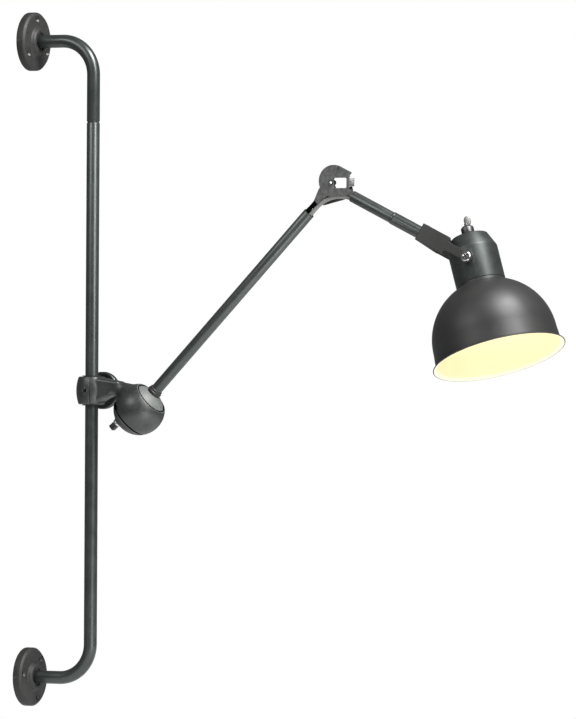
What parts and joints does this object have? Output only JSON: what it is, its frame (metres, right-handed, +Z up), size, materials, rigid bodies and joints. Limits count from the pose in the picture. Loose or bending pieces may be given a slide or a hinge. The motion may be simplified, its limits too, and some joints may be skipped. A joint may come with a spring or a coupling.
{
  "type": "wall sconce",
  "caption": "Wall sconce on a tall bent-tube rail: a sliding clamp with a ball joint carries an elbowed swing arm and a tilting dome shade.",
  "frame": {"origin": "centre of the lower wall flange, on the wall plane", "axes": "+X out of the wall, +Z up along the rail, the arms lie in the XZ plane"},
  "size_m": [0.7201, 0.1598, 0.854],
  "materials": {
    "paint": "satin anthracite powder coat",
    "cast_paint": "fine-grained anthracite powder coat on castings",
    "dark_steel": "blackened steel",
    "zinc": "zinc-plated",
    "chrome": "bright",
    "black_plastic": "matt black",
    "nylon": "matt",
    "flex": "smooth grey sheath",
    "bulb_metal": "rolled thread",
    "bulb_glass": "opal, lit"
  },
  "bodies": {
    "rail": {"upper_flange": "cast_paint", "lower_flange": "cast_paint", "upper_grub_screw": "dark_steel", "lower_grub_screw": "dark_steel", "rail_upper_tube": "paint", "rail_lower_tube": "paint", "rail_joiner": "dark_steel"},
    "slider": {"clamp_liner": "nylon"},
    "bracket": {"clamp_rear_jaw": "cast_paint", "clamp_bracket": "cast_paint", "jaw_screws": "dark_steel", "liner_grub_screw": "dark_steel", "ball_cap": "cast_paint", "tension_washer": "zinc"},
    "knob": {"clamp_knob": "black_plastic", "clamp_stud": "zinc"},
    "tension": {"tension_screw": "dark_steel"},
    "ball": {"ball_upper": "cast_paint", "ball_lower": "cast_paint"},
    "lower_arm": {"lower_arm_tube": "paint", "arm_retainer": "dark_steel", "arm_ferrule": "dark_steel", "elbow_lower_knuckle": "paint", "elbow_pivot": "zinc", "elbow_nut": "dark_steel", "elbow_washer": "nylon", "elbow_stop_screw": "zinc", "elbow_cable": "flex"},
    "upper_arm": {"upper_arm_tube": "paint", "elbow_upper_knuckle": "paint", "swivel_ring": "dark_steel", "fork_nut": "dark_steel"},
    "fork": {"fork": "paint"},
    "head": {"lamp_cap": "paint", "shade": "paint", "near_pivot_screw": "chrome", "far_pivot_screw": "chrome", "pivot_washers": "nylon", "screw_washers": "black_plastic", "lampholder": "black_plastic", "shade_ring": "black_plastic", "bulb_base": "bulb_metal", "bulb_glass": "bulb_glass", "switch_nut": "dark_steel", "switch_collar": "zinc"},
    "switch": {"switch_key": "zinc"}
  },
  "joints": [
    {"name": "clamp_slide", "type": "slide", "parent": "rail", "child": "slider", "axis": [0, 0, 1], "range_m": [-0.285, 0.36]},
    {"name": "bracket_swivel", "type": "hinge", "parent": "slider", "child": "bracket", "pos_m": [0.0885, 0, 0.353], "axis": [0, 0, 1], "range_deg": [-85, 85]},
    {"name": "knob_turn", "type": "hinge", "parent": "bracket", "child": "knob", "pos_m": [0.0885, 0, 0.353], "axis": [0, 1, 0], "range_deg": [-180, 180]},
    {"name": "tension_turn", "type": "hinge", "parent": "bracket", "child": "tension", "pos_m": [0.14999, 0, 0.3352], "axis": [0.766, 0, 0.6428], "range_deg": [-90, 90]},
    {"name": "ball_tilt", "type": "hinge", "parent": "bracket", "child": "ball", "pos_m": [0.1541, 0, 0.3303], "axis": [0, -1, 0], "range_deg": [-31, 18.5]},
    {"name": "arm_spin", "type": "hinge", "parent": "ball", "child": "lower_arm", "pos_m": [0.1541, 0, 0.3303], "axis": [0.6921, 0, 0.7218], "range_deg": [-120, 120]},
    {"name": "elbow_bend", "type": "hinge", "parent": "lower_arm", "child": "upper_arm", "pos_m": [0.41405, 0, 0.6057], "axis": [0, -1, 0], "range_deg": [-68, 70], "deforming": ["elbow_cable"]},
    {"name": "fork_swivel", "type": "hinge", "parent": "upper_arm", "child": "fork", "pos_m": [0.60401, 0, 0.50889], "axis": [0.8973, 0, -0.4415], "range_deg": [-90, 90]},
    {"name": "head_tilt", "type": "hinge", "parent": "fork", "child": "head", "pos_m": [0.60401, 0, 0.50889], "axis": [0.0956, -0.9763, 0.1942], "range_deg": [-70, 45]},
    {"name": "switch_turn", "type": "hinge", "parent": "head", "child": "switch", "pos_m": [0.60401, 0, 0.50889], "axis": [-0.3297, 0.153, 0.9316], "continuous": true}
  ]
}
